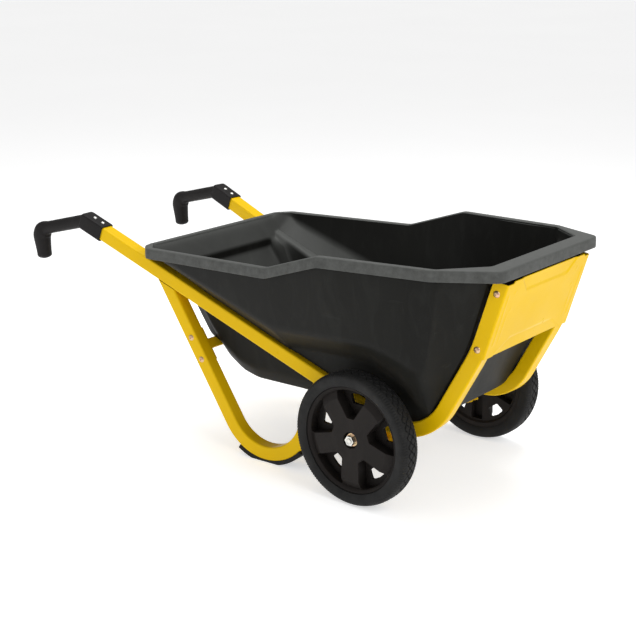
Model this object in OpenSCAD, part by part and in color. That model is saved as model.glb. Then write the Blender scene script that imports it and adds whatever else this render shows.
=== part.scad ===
// Two-wheeled garden cart: a moulded tub on a bent square-tube frame.
// x runs forward to the nose, y to the pusher's left, z up; the ground is z = 0.
// Heights and lengths below are measured from the wheel axle, which place() then
// moves so that the origin is under the middle of the whole cart.

/* [Frame] */
// Side of the square frame tube
tube = 40; // [30:1:50]
// Wall of the frame tube
tube_wall = 2; // [1.5:0.5:4]
// Rounding of the frame tube's corners
tube_round = 5; // [3:1:8]
// Half the width over the two side frames, measured at the axle
track_half = 225; // [205:5:280]
// Angle by which each side frame opens towards the handles
splay = 4.3; // [2:0.1:6]
// Height of the rail's centre over the axle
rail_rise = 37.6; // [34:0.2:60]
// Downward slope of the rail towards the nose
rail_slope = 20.6; // [18:0.1:24]
// Length of the rail behind the axle
rail_reach = 1005; // [900:5:1220]
// Distance from the axle forward to the rail's lower corner
nose_reach = 145; // [140:5:175]
// Centreline radius of the bend between rail and riser
nose_bend = 145; // [120:5:160]
// Slope of the riser above that bend
riser_slope = 62.2; // [58:0.2:66]
// Height over the rail's lower corner at which the riser steepens
knee_height = 280; // [240:5:320]
// Centreline radius of the riser's knee
knee_bend = 400; // [200:20:600]
// Slope of the riser's head
head_slope = 73.3; // [70:0.1:78]
// Height of the riser's top over its knee
head_height = 176; // [150:2:180]

/* [Legs] */
// Slope of the rear leg
leg_slope = 58.3; // [54:0.1:64]
// Slope of the leg's front run
toe_slope = 70; // [62:1:76]
// Distance of the leg loop's centre behind the axle
leg_back = 356; // [320:1:400]
// Centreline radius of the leg loop
leg_bend = 138; // [120:2:150]
// Thickness of the rubber foot under the leg
pad_thick = 6; // [4:1:10]
// Height of the upper leg bolt over the axle
leg_bolt_high = 138; // [120:1:150]
// Height of the lower leg bolt over the axle
leg_bolt_low = 80; // [70:1:95]
// Height of the brace between the legs, along the legs
brace_side = 30; // [20:1:36]
// Depth of the brace between the legs
brace_deep = 18; // [14:1:20]
// Thickness of the brace's end plates
brace_plate = 4; // [3:0.5:6]

/* [Wheels] */
// Outside radius of the tyre
tyre_r = 178; // [150:1:215]
// Width of the tyre
tyre_w = 63; // [50:1:80]
// Radius at which the tyre sits on the wheel
rim_r = 141; // [120:1:145]
// Gap between a side frame and its wheel
wheel_gap = 42; // [36:1:60]
// Number of spokes
spokes = 5; // [4:1:7]
// Width of a spoke
spoke_w = 52; // [36:1:56]
// Radius of the plain disc round the hub
web_r = 59; // [50:1:70]
// Radius of the axle
axle_r = 8; // [6:0.5:10]
// Radial running clearance of the bushes on the axle
bush_play = 0.06; // [0.03:0.01:0.1]
// Wall of the bushes
bush_wall = 4; // [3:0.5:6]
// Air between neighbouring faces of parts that turn past each other
side_play = 0.6; // [0.4:0.1:2]

/* [Tub] */
// Wall of the moulded tub
tub_wall = 5; // [3:0.5:8]
// Reach of the tub's rim behind the axle
tub_back = 772; // [740:1:790]
// Height of the floor's underside over the axle's top
floor_gap = 17; // [14:1:40]
// Height of the low rear rim over the axle
rim_low = 387; // [370:1:410]
// Height of the rim's foot of the step over the axle
rim_mid = 410; // [395:1:430]
// Height of the rim's head of the step over the axle
rim_step = 472; // [460:1:500]
// Height of the rim at the nose over the axle
rim_high = 490; // [475:1:510]
// Height of the rim's skirt
skirt = 30; // [20:1:40]
// Distance by which the rim stands outside the side walls
rim_over = 15; // [10:1:20]
// Distance by which the rim stands ahead of the front wall
nose_over = 45; // [38:1:50]
// Air between the tub's lower walls and the rails
nest_gap = 6; // [4:0.5:10]
// Air under the tub's ledge, over the rails
ledge_gap = 1; // [0.5:0.5:4]
// Air between the wheel and the arch over it
arch_gap = 70; // [50:2:90]

/* [Front plate] */
// Thickness of the sheet-steel plate
plate_thick = 2.5; // [2:0.5:4]
// Height of the plate's lower edge under the riser's top, along the riser
plate_len = 194; // [160:2:200]
// Height of the plate's corners over the riser's top
plate_top = 10; // [0:1:14]
// Height of the plate's middle over the riser's top
plate_lip = 20; // [15:1:22]

/* [Grips] */
// Wall of the grip's socket
socket_wall = 4; // [3:0.5:6]
// Length of the grip's socket
socket_len = 86; // [70:2:110]
// Radius of the grip's bar
bar_r = 18; // [15:0.5:20]
// Radius of the hand hold
hold_r = 28; // [20:0.5:30]
// Length of the bar behind the socket
bar_reach = 208; // [180:1:220]
// Drop of the hand hold below the rail's end
hold_drop = 135; // [105:1:150]

/* [Fasteners] */
// Radius of the frame bolts
bolt_r = 4; // [3:0.5:5]
// Clearance of a bolt in its hole
bolt_play = 0.3; // [0.2:0.1:0.6]
// Radius of a bolt's round head
head_r = 9; // [7:0.5:11]
// Height of a bolt's round head
head_h = 4.5; // [3:0.5:6]
// Width across the corners of a bolt's nut
nut_w = 15; // [13:0.5:18]
// Height of a bolt's nut
nut_h = 6.5; // [5:0.5:9]
// Thickness of a washer
washer_h = 1.6; // [1:0.2:3]
// Thickness of the axle's washers
axle_washer_h = 3; // [2:0.5:4]
// Height of the axle's nuts
axle_nut_h = 13; // [10:1:16]

/* [Hidden] */
$fn = 64;

paint = "#f2c400";
plastic = "#2b2a2a";
rubber = "#232323";
zinc = "#c9c9c4";
gold_zinc = "#c8a860";

lap = 1;
swell = 1.003;
seat = 0.05;
over = 1;
far = 900;
axle_z = tyre_r;
splay_k = tan(splay);

// ---- side-frame outline, in the plane of a side frame: [along, up] ----

function unit(a) = [cos(a), sin(a)];
function left_of(a) = [-sin(a), cos(a)];

rail_mid = axle_z + rail_rise;
function rail_point(u) = [u, rail_mid - tan(rail_slope) * u];
rail_end = rail_point(-rail_reach);
nose = rail_point(nose_reach);
knee = nose + unit(riser_slope) * knee_height / sin(riser_slope);
head = knee + unit(head_slope) * head_height / sin(head_slope);
rail_path = [rail_end, nose, knee, head];
rail_bends = [0, nose_bend, knee_bend, 0];

// Centre of the arc that joins two runs of a path
function turn_at(p, i) =
    let (a = atan2(p[i][1] - p[i - 1][1], p[i][0] - p[i - 1][0]))
    let (b = atan2(p[i + 1][1] - p[i][1], p[i + 1][0] - p[i][0]))
    b - a;
function run_angle(p, i) = atan2(p[i + 1][1] - p[i][1], p[i + 1][0] - p[i][0]);
function trim_at(p, r, i) = r[i] == 0 ? 0 : r[i] * tan(abs(turn_at(p, i)) / 2);
function bend_centre(p, r, i) =
    p[i] - unit(run_angle(p, i - 1)) * trim_at(p, r, i)
    + left_of(run_angle(p, i - 1)) * r[i] * sign(turn_at(p, i));

nose_centre = bend_centre(rail_path, rail_bends, 1);
nose_inner = nose_bend - tube / 2;

leg_centre = [-leg_back, pad_thick + leg_bend + tube / 2];
leg_heel = -left_of(-leg_slope);
leg_toe = -left_of(toe_slope);
leg_corner = leg_centre + leg_bend * (leg_heel + leg_toe) / (1 + leg_heel * leg_toe);
leg_top_run = 900;
leg_path = [
    leg_corner - unit(-leg_slope) * leg_top_run,
    leg_corner,
    leg_corner + unit(toe_slope) * leg_top_run
];
leg_bends = [0, leg_bend, 0];

// Point on the rear leg's centreline at a height
function leg_at(z) = leg_corner - unit(-leg_slope) * (z - leg_corner[1]) / sin(leg_slope);

// Rear face of the riser at a height
function riser_back(z) = z < knee[1]
    ? nose[0] + (z - nose[1]) / tan(riser_slope) - tube / 2 / sin(riser_slope)
    : knee[0] + (z - knee[1]) / tan(head_slope) - tube / 2 / sin(head_slope);

// Upper surface of the side frame over a place x
rail_top_rise = tube / 2 / cos(rail_slope);
function rail_top(x) = rail_point(x / cos(splay))[1] + rail_top_rise;
function frame_top(x) =
    let (dx = (x + tube * sin(splay)) / cos(splay) - nose_centre[0])
    abs(dx) < nose_inner * sin(riser_slope) && dx > -nose_inner * sin(rail_slope)
    ? nose_centre[1] - sqrt(nose_inner * nose_inner - dx * dx)
    : rail_top(x);

// ---- lengthwise extent, for the origin ----

bar_slope = 15;
grip_cap = 24;
grip_start = rail_end + unit(180 - rail_slope) * grip_cap / 2 + [0, 6];
grip_elbow = grip_start + unit(180 + bar_slope) * bar_reach;
grip_tip = [grip_elbow[0], rail_end[1] - hold_drop];
rear_x = grip_elbow[0] * cos(splay) - tube / 2 * sin(splay) - hold_r;
plate_front = head + unit(head_slope - 90) * (tube / 2 + plate_thick);
plate_x = head[0] * cos(splay) + (tube / 2 + plate_thick) * sin(head_slope) + plate_lip * cos(head_slope);

module place() {
    translate([-mid_x, 0, 0]) children();
}

// Works in the plane of a side frame: x along it, y = 0 on its outer face, z up
module side_frame(s) {
    translate([0, s * track_half, 0]) rotate([0, 0, -s * splay]) children();
}

// A point of a side frame's plane, placed in the cart
function in_cart(s, p, inward) = [
    p[0] * cos(splay) - inward * sin(splay),
    s * (track_half - p[0] * sin(splay) - inward * cos(splay)),
    p[1]
];

// Outline with every corner rounded to r
function rounded(pts, r, steps = 5) = [
    for (i = [0 : len(pts) - 1])
        let (a = pts[(i + len(pts) - 1) % len(pts)], b = pts[i], c = pts[(i + 1) % len(pts)])
        let (u = (a - b) / norm(a - b), v = (c - b) / norm(c - b))
        let (half = acos(max(-1, min(1, u * v))) / 2)
        let (cut = r / tan(half), mid = b + (u + v) / norm(u + v) * r / sin(half))
        let (from = b + u * cut - mid, to = b + v * cut - mid)
        let (a0 = atan2(from[1], from[0]), a1 = atan2(to[1], to[0]))
        let (sweep = (a1 - a0 + 540) % 360 - 180)
        for (k = [0 : steps]) mid + r * unit(a0 + sweep * k / steps)
];

module tube_outline(w, r, deep = 0) {
    d = deep == 0 ? w : deep;
    square([w, d - 2 * r], center = true);
    square([w - 2 * r, d], center = true);
    for (x = [-1, 1], y = [-1, 1]) translate([x * (w / 2 - r), y * (d / 2 - r)]) circle(r = r, $fn = 32);
}

// Sweeps the child outline along a path of straight runs and true bends
module bent_bar(path, bends) {
    for (i = [0 : len(path) - 2]) {
        a = run_angle(path, i);
        t0 = i == 0 ? 0 : trim_at(path, bends, i) - lap;
        t1 = i == len(path) - 2 ? 0 : trim_at(path, bends, i + 1) - lap;
        start = path[i] + unit(a) * t0;
        translate([start[0], 0, start[1]]) rotate([0, 90 - a, 0])
            linear_extrude(norm(path[i + 1] - path[i]) - t0 - t1) children();
    }
    for (i = [1 : len(path) - 2]) {
        turn = turn_at(path, i);
        c = bend_centre(path, bends, i);
        from = turn > 0 ? run_angle(path, i - 1) - 90 : run_angle(path, i) + 90;
        translate([c[0], 0, c[1]]) rotate([90, 0, 0]) rotate([0, 0, from])
            rotate_extrude(angle = abs(turn)) translate([bends[i], 0]) scale(swell) children();
    }
}

function stretched(path, by) = [
    for (i = [0 : len(path) - 1])
        i == 0 ? path[0] - unit(run_angle(path, 0)) * by
        : i == len(path) - 1 ? path[i] + unit(run_angle(path, i - 1)) * by
        : path[i]
];

module hollow_bar(path, bends) {
    difference() {
        bent_bar(path, bends) tube_outline(tube, tube_round);
        bent_bar(stretched(path, over), bends)
            tube_outline(tube - 2 * tube_wall, tube_round - tube_wall);
    }
}

// A cylinder through a side frame at a point of its plane, from depth a to depth b
module cross_rod(s, p, r, a, b) {
    translate([p[0], -s * (a + b) / 2, p[1]]) rotate([90, 0, 0])
        cylinder(r = r, h = b - a, center = true);
}

// ---- rails, with their bolt holes ----

tub_bolt_u = [-548, -235];
tub_bolt_in = tube * 0.8;
tub_washer_r = head_r + 0.5;
plate_bolt_up = 18;
plate_bolt_down = 172;
function head_at(back) = head - unit(head_slope) * back;
plate_bolt_points = [head_at(plate_bolt_up), head_at(plate_bolt_down) - [2, 0]];
leg_bolt_points = [leg_at(axle_z + leg_bolt_high), leg_at(axle_z + leg_bolt_low)];
hole_r = bolt_r + bolt_play;
grip_screw_u = [-18, -50];
screw_r = 2.5;

module rail(s) {
    color(paint) side_frame(s) difference() {
        translate([0, -s * tube / 2, 0]) hollow_bar(rail_path, rail_bends);
        for (p = plate_bolt_points) cross_rod(s, p, hole_r, -over, tube + over);
        for (u = tub_bolt_u) tub_bolt_axis(s, u) cylinder(r = hole_r, h = 3 * tube, center = true);
        for (d = grip_screw_u) grip_screw_axis(s, d) cylinder(r = screw_r, h = 3 * tube_wall, center = true);
    }
}

module tub_bolt_axis(s, u) {
    p = rail_point(u);
    translate([p[0], -s * tub_bolt_in, p[1]]) rotate([0, rail_slope, 0]) children();
}

// On the rail's upper face, at a distance back from the front of the grip's socket
module grip_screw_axis(s, d) {
    p = rail_end + unit(-rail_slope) * (socket_len - grip_cap + d);
    translate([p[0], -s * tube / 2, p[1]]) rotate([0, rail_slope, 0])
        translate([0, 0, tube / 2]) children();
}

// ---- legs ----

module leg(s) {
    color(paint) side_frame(s) difference() {
        translate([0, -s * tube / 2, 0]) hollow_bar(leg_path, leg_bends);
        translate([0, -s * tube / 2, 0]) over_rail();
        for (p = leg_bolt_points) cross_rod(s, p, hole_r, -over, tube + over);
        translate([leg_centre[0], -s * tube / 2, 0]) cylinder(r = rivet_r + bolt_play, h = 3 * pad_thick + tube_wall);
    }
}

// Everything above the rail's underside
module over_rail() {
    rotate([90, 0, 0]) linear_extrude(2 * tube, center = true) polygon([
        rail_point(-far) - [0, rail_top_rise],
        rail_point(far) - [0, rail_top_rise],
        [far, 2 * far],
        [-far, 2 * far]
    ]);
}

// ---- rubber feet ----

foot_out = leg_bend + tube / 2 * swell + seat;
foot_heel = 33;
foot_toe = 48;
rivet_r = 2.5;
foot_sole = pad_thick * 2;

module foot_pad(s) {
    color(rubber) side_frame(s) difference() {
        intersection() {
            translate([leg_centre[0], -s * tube / 2, leg_centre[1]]) rotate([90, 0, 0])
                rotate([0, 0, -90 - foot_heel]) rotate_extrude(angle = foot_heel + foot_toe)
                translate([foot_out, -tube / 2]) square([foot_sole, tube]);
            translate([-far, -far, 0]) cube(2 * far);
        }
        translate([leg_centre[0], -s * tube / 2, -over])
            cylinder(r = rivet_r + bolt_play, h = 3 * pad_thick);
        translate([leg_centre[0], -s * tube / 2, -over]) cylinder(r = 2 * rivet_r, h = over + 3);
    }
}

module foot_pad_rivets() {
    color(zinc) for (s = [-1, 1]) side_frame(s) translate([leg_centre[0], -s * tube / 2, 1.2]) {
        cylinder(r = 2 * rivet_r - bolt_play, h = 1.6);
        cylinder(r = rivet_r, h = pad_thick + tube_wall - 0.2);
        translate([0, 0, pad_thick + tube_wall - 1.2]) cylinder(r = 2 * rivet_r - bolt_play, h = 1.6);
    }
}

// ---- bolts ----

module round_head_bolt(length) {
    difference() {
        rotate_extrude() {
            square([bolt_r, length]);
            translate([0, -head_h]) intersection() {
                square([head_r, head_h]);
                translate([0, (head_r * head_r + head_h * head_h) / 2 / head_h])
                    circle(r = (head_r * head_r + head_h * head_h) / 2 / head_h, $fn = 96);
            }
        }
        translate([0, 0, -head_h - over]) cylinder(r = bolt_r * 0.7, h = head_h * 0.6 + over, $fn = 6);
    }
}

module nut(w, h, bore) {
    difference() {
        intersection() {
            cylinder(d = w, h = h, $fn = 6);
            cylinder(d1 = w + h - 1, d2 = w - 0.6, h = h);
        }
        translate([0, 0, -over]) cylinder(r = bore, h = h + 2 * over);
    }
}

// Puts z along the bolt's way in, from the outer face of a side frame
module bolt_in(s, p, depth = 0) {
    translate([p[0], -s * depth, p[1]]) rotate([s * 90, 0, 0]) children();
}

module leg_bolts() {
    color(zinc) for (s = [-1, 1], p = leg_bolt_points) side_frame(s)
        bolt_in(s, p) round_head_bolt(tube + brace_plate + nut_h + 2);
}

module leg_nuts() {
    color(zinc) for (s = [-1, 1], p = leg_bolt_points) side_frame(s)
        bolt_in(s, p, tube + brace_plate) nut(nut_w, nut_h, bolt_r);
}

module plate_bolts() {
    color(zinc) for (s = [-1, 1], p = plate_bolt_points) side_frame(s)
        bolt_in(s, p, -plate_thick - 2 * seat) round_head_bolt(tube + plate_thick + nut_h + 2);
}

module plate_nuts() {
    color(zinc) for (s = [-1, 1], p = plate_bolt_points) side_frame(s)
        bolt_in(s, p, tube + 2 * seat) nut(nut_w, nut_h, bolt_r);
}

ledge_top = tube / 2 + (ledge_gap + tub_wall + 0.5) * cos(rail_slope)
    + tub_bolt_in * sin(splay) * sin(rail_slope) + seat;

module tub_bolts() {
    color(zinc) for (s = [-1, 1], u = tub_bolt_u) side_frame(s) tub_bolt_axis(s, u)
        translate([0, 0, ledge_top + washer_h]) mirror([0, 0, 1])
        round_head_bolt(ledge_top + washer_h + tube / 2 + nut_h + 2);
}

module tub_washers() {
    color(zinc) for (s = [-1, 1], u = tub_bolt_u) side_frame(s) tub_bolt_axis(s, u)
        translate([0, 0, ledge_top]) difference() {
            cylinder(r = tub_washer_r, h = washer_h);
            translate([0, 0, -over]) cylinder(r = hole_r, h = washer_h + 2 * over);
        }
}

module tub_nuts() {
    color(zinc) for (s = [-1, 1], u = tub_bolt_u) side_frame(s) tub_bolt_axis(s, u)
        translate([0, 0, -tube / 2]) mirror([0, 0, 1]) nut(nut_w, nut_h, bolt_r);
}

// ---- front plate ----

plate_half = track_half - splay_k * plate_front[0];
plate_foot = head_at(plate_len - 4) + unit(head_slope - 90) * (tube / 2 + plate_thick);
plate_foot_half = track_half - splay_k * plate_foot[0];
flange_back = tube / 2 - 3;
lip_half = 170;

module front_plate() {
    color(paint) union() {
        plate_face();
        for (s = [-1, 1]) plate_flange(s);
    }
}

// The flat face, drawn flat and stood up on the risers' front
module plate_face() {
    translate([head[0] * cos(splay), 0, head[1]]) rotate([0, 90 - head_slope, 0])
        translate([tube / 2, 0, 0]) rotate([90, 0, 90]) linear_extrude(plate_thick) polygon([
            [-plate_foot_half - plate_thick, 4 - plate_len],
            [plate_foot_half + plate_thick, 4 - plate_len],
            [plate_half + plate_thick, plate_top],
            [lip_half, plate_top],
            [lip_half, plate_lip],
            [-lip_half, plate_lip],
            [-lip_half, plate_top],
            [-plate_half - plate_thick, plate_top]
        ]);
}

module plate_flange(s) {
    side_frame(s) difference() {
        translate([head[0], s * (plate_thick / 2 + 2 * seat), head[1]]) rotate([0, 90 - head_slope, 0])
            translate([-flange_back, -plate_thick / 2, 4 - plate_len])
            cube([flange_back + tube / 2 + plate_thick, plate_thick, plate_len - 4]);
        for (p = plate_bolt_points) cross_rod(s, p, hole_r, -3 * plate_thick, 3 * plate_thick);
    }
}

module riser_caps() {
    color(plastic) for (s = [-1, 1]) side_frame(s)
        translate([head[0], -s * tube / 2, head[1]]) rotate([0, 90 - head_slope, 0]) {
            linear_extrude(2.5) tube_outline(tube, tube_round);
            translate([0, 0, -10]) linear_extrude(10)
                tube_outline(tube - 2 * tube_wall - 0.4, tube_round - tube_wall);
        }
}

// ---- brace between the legs ----

brace_point = (leg_bolt_points[0] + leg_bolt_points[1]) / 2;
brace_plate_len = norm(leg_bolt_points[0] - leg_bolt_points[1]) + 30;
brace_end_y = in_cart(1, brace_point, tube + brace_plate / 2)[1];

module leg_brace() {
    color(paint) difference() {
        union() {
            for (s = [-1, 1]) side_frame(s)
                translate([brace_point[0], -s * (tube + brace_plate / 2), brace_point[1]])
                rotate([0, 90 + leg_slope, 0])
                cube([tube - 8, brace_plate, brace_plate_len], center = true);
            translate([brace_point[0] * cos(splay) - tube * sin(splay), 0, brace_point[1]])
                rotate([90, 0, 0]) rotate([0, 0, 180 - leg_slope]) difference() {
                    linear_extrude(2 * brace_end_y, center = true)
                        tube_outline(brace_side, 3, brace_deep);
                    linear_extrude(2 * brace_end_y - 3 * brace_plate, center = true)
                        tube_outline(brace_side - 4, 1, brace_deep - 4);
                }
        }
        for (s = [-1, 1], p = leg_bolt_points) side_frame(s)
            cross_rod(s, p, hole_r, tube - over, tube + brace_plate + over);
    }
}

// ---- axle and its brackets ----

bracket_thick = 4;
bracket_in = 5;
bracket_bolt = [27, axle_z - 30];
bracket_outline = rounded([
    rail_point(-72) - [0, rail_top_rise + 2 * seat],
    [-30, axle_z - 16],
    [16, axle_z - 46],
    [44, axle_z - 34],
    [30, axle_z + 3],
    rail_point(14) - [0, rail_top_rise + 2 * seat]
], 4);

module axle_bracket(s) {
    color(paint) difference() {
        side_frame(s) difference() {
            for (d = [bracket_in, tube - bracket_in - bracket_thick])
                translate([0, -s * d, 0]) rotate([90, 0, 0])
                mirror([0, 0, s > 0 ? 0 : 1]) linear_extrude(bracket_thick)
                polygon(bracket_outline);
            cross_rod(s, bracket_bolt, hole_r, -over, tube + over);
        }
        translate([0, 0, axle_z]) rotate([90, 0, 0])
            cylinder(r = axle_r + 0.2, h = 2 * far, center = true);
        translate([0, s * (track_half - tube / 2), 0]) translate([0, 0, axle_z])
            rotate([90, 0, 0]) cylinder(r = axle_r + 0.2, h = 2 * tube, center = true);
    }
}

module bracket_bolts() {
    color(gold_zinc) for (s = [-1, 1]) side_frame(s)
        bolt_in(s, bracket_bolt, bracket_in) round_head_bolt(tube - 2 * bracket_in + washer_h + nut_h + 2);
}

module bracket_washers() {
    color(gold_zinc) for (s = [-1, 1]) side_frame(s)
        bolt_in(s, bracket_bolt, tube - bracket_in) difference() {
            cylinder(r = head_r, h = washer_h);
            translate([0, 0, -over]) cylinder(r = hole_r, h = washer_h + 2 * over);
        }
}

module bracket_nuts() {
    color(gold_zinc) for (s = [-1, 1]) side_frame(s)
        bolt_in(s, bracket_bolt, tube - bracket_in + washer_h) nut(nut_w, nut_h, bolt_r);
}

wheel_in = track_half + wheel_gap;
wheel_out = wheel_in + tyre_w;
hub_face = wheel_out - 7;
hub_back = wheel_in + 3;
recess_r = 21;
recess_floor = hub_face - 12;
axle_half = recess_floor + axle_washer_h + axle_nut_h + 2.5;

module axle() {
    color(zinc) translate([0, 0, axle_z]) rotate([90, 0, 0]) difference() {
        cylinder(r = axle_r, h = 2 * axle_half, center = true);
        for (s = [-1, 1]) translate([0, 0, s * axle_half]) rotate_extrude()
            translate([axle_r - 1, 0]) rotate(45) square(2, center = true);
    }
}

// A ring about the axle on both sides, between two distances from the middle
module axle_ring(r_out, r_in, from, to) {
    for (s = [-1, 1]) translate([0, s * (from + to) / 2, axle_z]) rotate([90, 0, 0])
        difference() {
            cylinder(r = r_out, h = to - from, center = true);
            cylinder(r = r_in, h = to - from + 2 * over, center = true);
        }
}

module axle_spacers() {
    color(zinc) axle_ring(axle_r + 5, axle_r + 0.2, track_half - bracket_in + over, hub_back - side_play);
}

module axle_washers() {
    color(gold_zinc) axle_ring(axle_r + 9.5, axle_r + 0.2,
        recess_floor + side_play, recess_floor + side_play + axle_washer_h);
}

module axle_nuts() {
    color(zinc) for (s = [-1, 1])
        translate([0, s * (recess_floor + side_play + axle_washer_h), axle_z])
        rotate([-s * 90, 0, 0]) nut(27.7 + 2 * (axle_r - 8), axle_nut_h, axle_r);
}

// ---- wheels ----

function ring_at(s) = s > 0 ? 0 : 1;

// Turns a shape drawn about +z, z = distance from the cart's middle, onto a side
module on_axle(s) {
    translate([0, 0, axle_z]) rotate([90, 0, 0]) mirror([0, 0, ring_at(-s)]) children();
}

half_sector = 180 / spokes;
window_r = rim_r - 8;
window_in = web_r + 1;
function spoke_edge(r) = let (a = asin(spoke_w / 2 / r)) unit(half_sector - a) * r;
window_foot = (spoke_w / 2) / sin(half_sector);
window_half_foot = (window_in - window_foot * cos(0)) * tan(half_sector);
window_outline = rounded(concat(
    [[window_in, -max(6, window_half_foot)]],
    [for (k = [-1 : 0.5 : 1]) unit(k * (half_sector - asin(spoke_w / 2 / window_r))) * window_r],
    [[window_in, max(6, window_half_foot)]]
), 3, 3);
web_back = wheel_in + 22;
hole_in = web_r + 34;
hole_out = rim_r - 20;
hole_turn = 14;
hole_outline = rounded([
    unit(-hole_turn) * hole_in,
    unit(-hole_turn) * hole_out,
    [hole_out + 1, 0],
    unit(hole_turn) * hole_out,
    unit(hole_turn) * hole_in
], 3, 3);
pocket_w = spoke_w - 26;
spoke_turn = -90;

module wheel_body() {
    difference() {
        rotate_extrude($fn = 96) polygon([
            [axle_r + bush_wall, hub_back],
            [axle_r + bush_wall + 16, hub_back],
            [axle_r + bush_wall + 18, wheel_in + 12],
            [rim_r - 12, wheel_in + 12],
            [rim_r - 8, wheel_in + 6],
            [rim_r + 3, wheel_in + 6],
            [rim_r + 3, wheel_in + 10],
            [rim_r, wheel_in + 12],
            [rim_r, wheel_out - 13],
            [rim_r + 3, wheel_out - 11],
            [rim_r + 3, wheel_out - 7],
            [rim_r - 3, wheel_out - 6],
            [rim_r - 8, hub_face - 4],
            [rim_r - 22, hub_face],
            [recess_r, hub_face],
            [recess_r, recess_floor],
            [axle_r + bush_wall, recess_floor]
        ]);
        for (k = [0 : spokes - 1]) rotate(spoke_turn + half_sector + k * 2 * half_sector)
            {
                translate([0, 0, web_back]) linear_extrude(tyre_w) polygon(window_outline);
                translate([0, 0, wheel_in - over]) linear_extrude(tyre_w) polygon(hole_outline);
            }
        for (k = [0 : spokes - 1]) rotate(spoke_turn + k * 2 * half_sector)
            translate([(web_r + rim_r) / 2 - 12, 0, (wheel_in + hub_face) / 2 - 3])
            cube([rim_r - web_r + 6, pocket_w, hub_face - wheel_in - 6], center = true);
    }
}

module wheel(s) {
    color(plastic) on_axle(s) wheel_body();
}

tread_groove = 3;
module tyre(s) {
    color(rubber) on_axle(s) rotate_extrude($fn = 96) difference() {
        polygon([
            [rim_r, wheel_in + 12],
            [rim_r + 3, wheel_in + 10],
            [rim_r + 3, wheel_in + 4],
            [rim_r + 12, wheel_in + 1],
            [tyre_r - 14, wheel_in],
            [tyre_r - 6, wheel_in + 2],
            [tyre_r - 2.5, wheel_in + 7],
            [tyre_r - 1, wheel_in + 16],
            [tyre_r, wheel_in + tyre_w / 2],
            [tyre_r - 1, wheel_out - 16],
            [tyre_r - 2.5, wheel_out - 7],
            [tyre_r - 6, wheel_out - 2],
            [tyre_r - 14, wheel_out],
            [rim_r + 12, wheel_out - 1],
            [rim_r + 3, wheel_out - 5],
            [rim_r + 3, wheel_out - 11],
            [rim_r, wheel_out - 13]
        ]);
        for (k = [-1, 1]) translate([tyre_r, wheel_in + tyre_w / 2 + k * 11])
            square([2 * tread_groove, 2.5], center = true);
    }
}

module bushes(s) {
    color("#d8d6cc") on_axle(s) for (z = [hub_back, recess_floor - 18])
        translate([0, 0, z]) difference() {
            cylinder(r = axle_r + bush_wall, h = 18);
            translate([0, 0, -over]) cylinder(r = axle_r + bush_play, h = 18 + 2 * over);
        }
}

// ---- grips ----

socket_w = tube + 2 * socket_wall;

module grip(s) {
    color(plastic) side_frame(s) translate([0, -s * tube / 2, 0]) difference() {
        union() {
            translate([grip_start[0], 0, grip_start[1]]) rotate([0, -90 - bar_slope, 0])
                cylinder(r = bar_r, h = bar_reach - hold_r / 2);
            hand_hold();
            translate([rail_end[0], 0, rail_end[1]]) rotate([0, 90 + rail_slope, 0])
                translate([0, 0, -grip_cap]) linear_extrude(socket_len) tube_outline(socket_w, 7);
        }
        translate([rail_end[0], 0, rail_end[1]]) rotate([0, 90 + rail_slope, 0])
            linear_extrude(socket_len) tube_outline(tube + 0.1, tube_round);
        for (d = grip_screw_u) translate([0, s * tube / 2, 0])
            grip_screw_axis(s, d) translate([0, 0, -over]) cylinder(r = screw_r + 0.1, h = 3 * socket_wall);
    }
}

// The thicker upright hold, domed at both ends
module hand_hold() {
    top = grip_elbow[1] + bar_r - 2;
    translate([grip_tip[0], 0, 0]) rotate_extrude() polygon(concat(
        [[0, grip_tip[1]]],
        [for (a = [20 : 10 : 90]) [(hold_r - 2.5) * sin(a), grip_tip[1] + (hold_r - 6) * (1 - cos(a))]],
        [for (a = [0 : 10 : 70]) [hold_r * cos(a), top - hold_r * (1 - sin(a))]],
        [[0, top]]
    ));
}

module grip_screws() {
    color(zinc) for (s = [-1, 1], d = grip_screw_u) side_frame(s) grip_screw_axis(s, d) {
        translate([0, 0, socket_wall]) rotate_extrude() intersection() {
            square([6, 3]);
            translate([0, 3 - 7.5]) circle(r = 7.5);
        }
        translate([0, 0, -tube_wall - 4]) cylinder(r = screw_r, h = socket_wall + tube_wall + 4);
    }
}

// ---- tub ----

floor_z = axle_z + axle_r + floor_gap;
front_gap = 3;
tub_rear = -(tub_back - 8);
rear_drop = rim_low - (floor_z - axle_z);
arch_top = 2 * tyre_r;
arch_run = tyre_r + 112;
front_levels = [0.12, 0.2, 0.3, 0.42, 0.54, 0.66, 0.78, 0.9, 1, 1.08];
front_rise = rim_high - (floor_z - axle_z);

// Underside of the tub along its length: rear wall, floor, front wall
floor_line = concat(
    [
        [tub_rear, axle_z + rim_low - 5],
        [tub_rear + 117, floor_z + 0.51 * rear_drop],
        [tub_rear + 174, floor_z + 0.27 * rear_drop],
        [tub_rear + 217, floor_z + 0.126 * rear_drop],
        [tub_rear + 267, floor_z + 0.036 * rear_drop],
        [tub_rear + 317, floor_z],
        [riser_back(floor_z + 0.12 * front_rise) - 85, floor_z],
        [riser_back(floor_z + 0.12 * front_rise) - 50, floor_z + 0.012 * front_rise],
        [riser_back(floor_z + 0.12 * front_rise) - 22, floor_z + 0.055 * front_rise]
    ],
    [for (k = front_levels) [front_wall(k), floor_z + k * front_rise]]
);
function front_wall(k) = riser_back(floor_z + k * front_rise) - front_gap * (1.4 + 2 * k);
function floor_at(x) = lookup(x, floor_line);
function floor_pitch(x) = (floor_at(x + 1) - floor_at(x - 1)) / 2;
nose_x = front_wall(1);
front_x = max(plate_x, nose_x + nose_over);
mid_x = (rear_x + front_x) / 2;

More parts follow.
